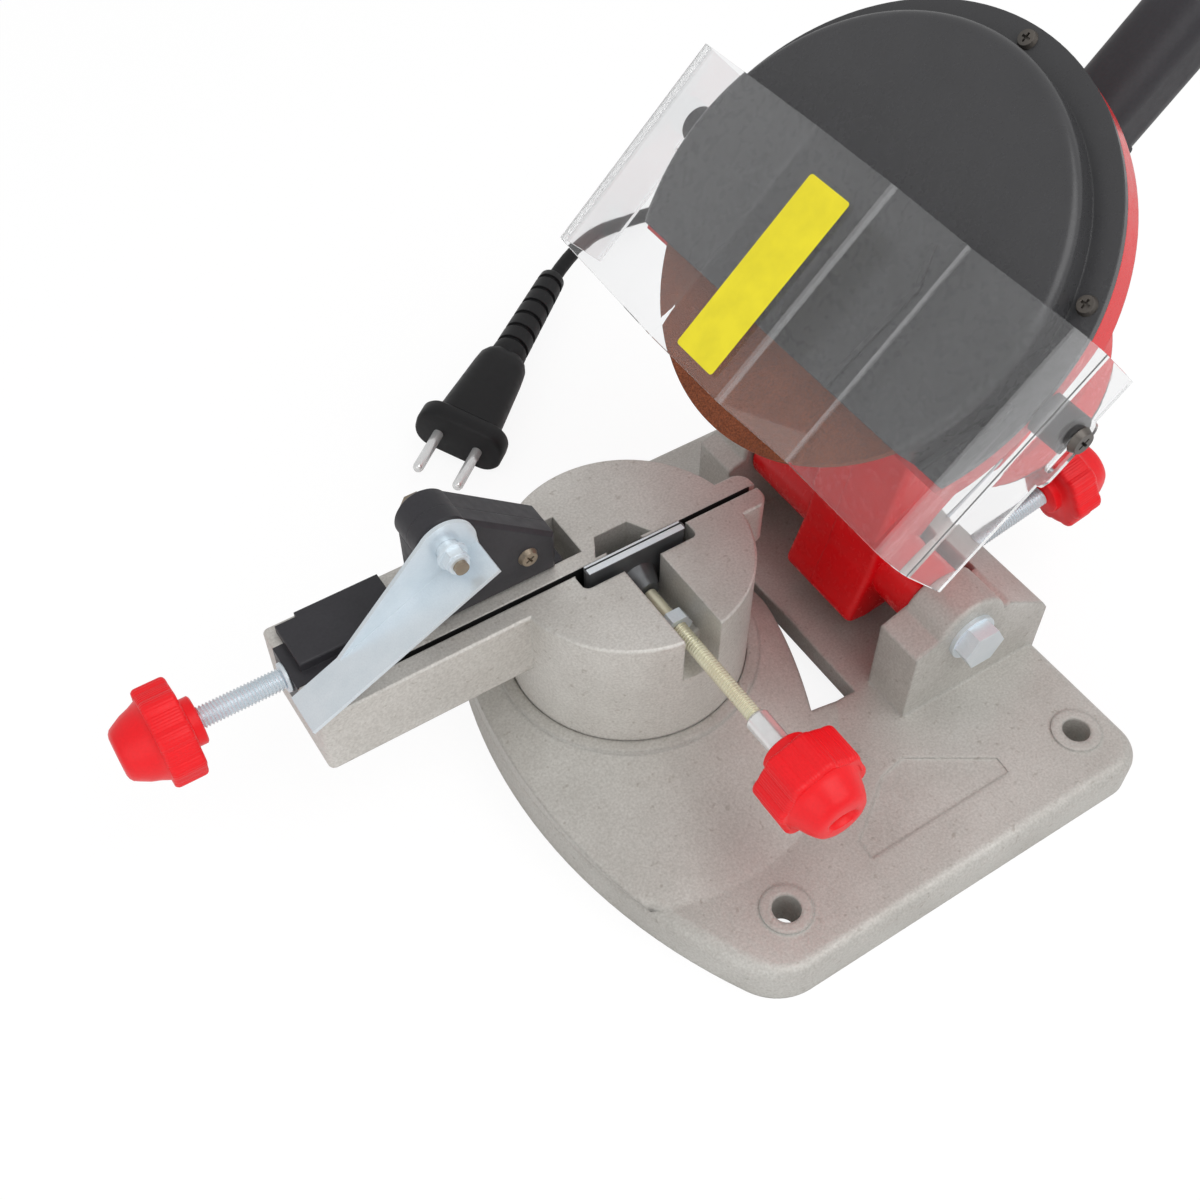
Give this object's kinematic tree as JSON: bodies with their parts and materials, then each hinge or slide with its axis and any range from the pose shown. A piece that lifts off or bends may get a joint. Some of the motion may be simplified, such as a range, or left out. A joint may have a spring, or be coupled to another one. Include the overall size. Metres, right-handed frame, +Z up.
{
  "type": "chainsaw sharpener",
  "caption": "Electric chainsaw sharpener: cast base with swivelling chain vise, and a red motor head with brown grinding wheel and clear guard that swings down on a pivot.",
  "frame": {"origin": "centre of the four bench bolt holes, on the underside plane of the base", "axes": "+Z up, +X from the vise to the head's pivot and motor, -Y to the operator; the head's pivot lies along Y"},
  "size_m": [0.4905, 0.3921, 0.2367],
  "materials": {
    "cast": "sand-textured die-cast aluminium",
    "zinc": "bright zinc plate",
    "yellow_zinc": "yellow zinc plate",
    "chrome": "polished chrome",
    "steel": "bare steel",
    "dark_steel": "black oxide",
    "red_knob": "bright red moulded plastic",
    "red_shell": "deep red gloss moulded plastic",
    "black": "black moulded plastic",
    "black_rubber": "black flexible sleeve",
    "clear": "clear polycarbonate",
    "abrasive": "brown vitrified abrasive",
    "copper": "enamelled copper winding"
  },
  "bodies": {
    "base": {"base_casting": "cast", "swivel_washer": "zinc", "pivot_bolt": "zinc", "pivot_washers": "zinc", "pivot_nut": "zinc", "cord_head_run": "black_rubber", "cord_coil": "black_rubber", "cord_plug_run": "black_rubber", "plug_body": "black", "plug_pins": "chrome"},
    "vise": {"vise_casting": "cast", "swivel_bolt": "zinc", "clamp_nut": "zinc", "guide_insert": "black"},
    "lock_ring": {"lock_washer": "zinc"},
    "lock_handle": {"lock_knob": "red_knob"},
    "clamp": {"clamp_plate": "steel"},
    "clamp_handle": {"clamp_screw": "yellow_zinc", "clamp_knob": "red_knob"},
    "stop_carriage": {"carriage": "black", "block_front": "black", "block_rear": "black", "block_screws": "yellow_zinc", "pawl_bolt": "yellow_zinc", "pawl_bush": "zinc", "pawl_nut": "zinc"},
    "adjuster": {"adjust_screw": "zinc", "adjust_knob": "red_knob"},
    "chain_pawl": {"pawl": "zinc"},
    "head": {"pivot_bushes": "steel", "arm_near": "red_shell", "arm_far": "red_shell", "motor_housing": "red_shell", "end_cap": "black", "back_shell": "red_shell", "wheel_cover": "black", "cover_screws": "dark_steel", "bearings": "steel", "stator": "steel", "field_coils": "copper", "brushes": "black", "brush_holders": "black", "handle": "black", "switch_body": "black", "guard_posts": "black", "guard_screws": "dark_steel", "cord_gland": "black"},
    "rotor": {"spindle": "steel", "wheel": "abrasive", "wheel_flanges": "zinc", "spindle_nut": "zinc", "armature": "steel", "armature_coils": "copper", "commutator": "copper", "fan": "black"},
    "wheel_guard": {"guard": "clear"},
    "switch_rocker": {"rocker": "black"},
    "stop_tip": {"depth_tip": "zinc"},
    "stop_handle": {"depth_screw": "zinc", "depth_knob": "red_knob"}
  },
  "joints": [
    {"name": "vise_swivel", "type": "hinge", "parent": "base", "child": "vise", "pos_m": [-0.0555, 0.02425, 0.05], "axis": [0, 0, 1], "range_deg": [-30, 30]},
    {"name": "lock_slide", "type": "slide", "parent": "vise", "child": "lock_ring", "axis": [0, 0, -1], "range_m": [0, 0.00125]},
    {"name": "lock_turn", "type": "hinge", "parent": "lock_ring", "child": "lock_handle", "pos_m": [-0.0555, 0.02425, 0.008], "axis": [0, 0, -1], "range_deg": [0, 360]},
    {"name": "clamp_slide", "type": "slide", "parent": "vise", "child": "clamp", "axis": [0, 1, 0], "range_m": [-0.002, 0.0008]},
    {"name": "clamp_turn", "type": "hinge", "parent": "clamp", "child": "clamp_handle", "pos_m": [-0.0545, -0.07575, 0.0695], "axis": [0, 1, 0], "range_deg": [-720, 288]},
    {"name": "carriage_slide", "type": "slide", "parent": "vise", "child": "stop_carriage", "axis": [1, 0, 0], "range_m": [-0.0035, 0.004]},
    {"name": "adjust_turn", "type": "hinge", "parent": "vise", "child": "adjuster", "pos_m": [-0.2255, 0.04275, 0.0775], "axis": [1, 0, 0], "range_deg": [-1152, 1008]},
    {"name": "pawl_swing", "type": "hinge", "parent": "stop_carriage", "child": "chain_pawl", "pos_m": [-0.124, 0.02425, 0.122], "axis": [0, 1, 0], "range_deg": [0, 75]},
    {"name": "head_swing", "type": "hinge", "parent": "base", "child": "head", "pos_m": [0.0437, 0.02425, 0.0495], "axis": [0, 1, 0], "range_deg": [-26.5, 0]},
    {"name": "wheel_spin", "type": "hinge", "parent": "head", "child": "rotor", "pos_m": [0.03113, 0.02525, 0.17588], "axis": [-0.682, 0, 0.7314], "continuous": true},
    {"name": "guard_slide", "type": "slide", "parent": "head", "child": "wheel_guard", "axis": [0.7314, 0, 0.682], "range_m": [0, 0.006]},
    {"name": "rocker_tilt", "type": "hinge", "parent": "head", "child": "switch_rocker", "pos_m": [0.13031, 0.01475, 0.17949], "axis": [-0.682, 0, 0.7314], "range_deg": [0, 16]},
    {"name": "depth_slide", "type": "slide", "parent": "base", "child": "stop_tip", "axis": [0.9799, 0, 0.1994], "range_m": [0, 0.006]},
    {"name": "depth_turn", "type": "hinge", "parent": "stop_tip", "child": "stop_handle", "pos_m": [0.0692, -0.01575, 0.037], "axis": [0.9799, 0, 0.1994], "range_deg": [0, 1728]}
  ],
  "couplings": [
    {"joint": "lock_turn", "follows": "lock_slide", "rad_per_m": 5026.5},
    {"joint": "clamp_turn", "follows": "clamp_slide", "rad_per_m": 6283.2},
    {"joint": "adjust_turn", "follows": "carriage_slide", "rad_per_m": -5026.5},
    {"joint": "depth_turn", "follows": "depth_slide", "rad_per_m": 5026.5}
  ]
}
